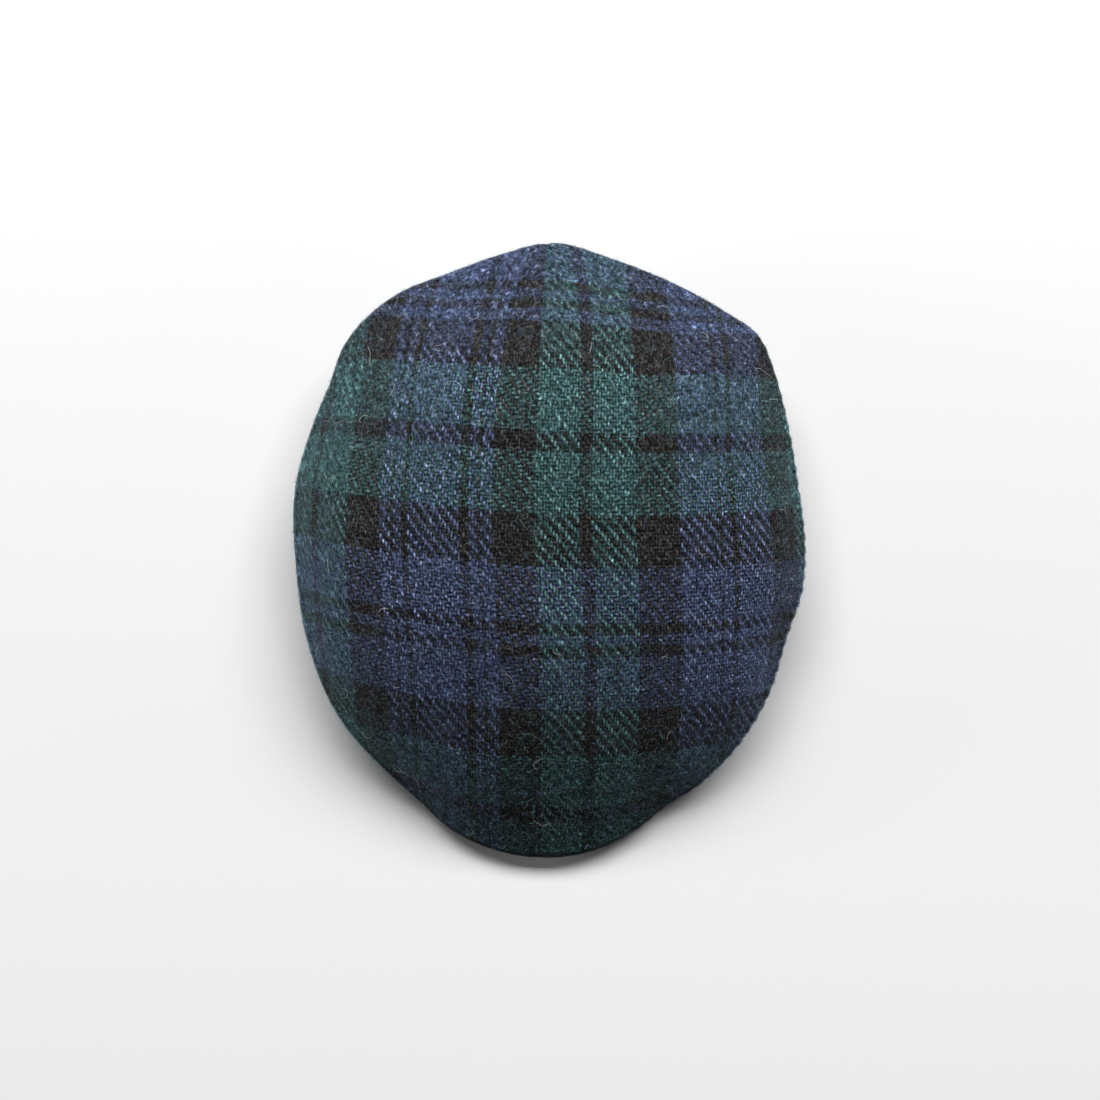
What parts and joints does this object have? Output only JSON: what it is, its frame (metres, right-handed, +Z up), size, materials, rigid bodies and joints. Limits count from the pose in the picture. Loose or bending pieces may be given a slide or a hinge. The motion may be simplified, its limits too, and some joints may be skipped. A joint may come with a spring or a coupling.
{
  "type": "flat cap",
  "caption": "Flat cap in tartan wool with a one-piece crown, darted at the back, over a short stiff peak and two side bands.",
  "frame": {"origin": "on the resting surface, under the middle of the cap's outline", "axes": "+Z up out of the top of the crown, -Y towards the peak and +Y towards the centre back, +X towards the wearer's left as worn, which is on the right seen from above with the back uppermost"},
  "size_m": [0.2292, 0.2801, 0.0862],
  "materials": {
    "tartan_crown": "fuzzy 2/2 twill wool in a dark green, navy and black tartan",
    "tartan_band": "the same tartan wool",
    "tartan_peak": "the same tartan wool, drawn tight over a stiff visor"
  },
  "bodies": {
    "root": {"crown": "tartan_crown", "side_left": "tartan_band", "side_right": "tartan_band", "peak": "tartan_peak"}
  },
  "joints": []
}
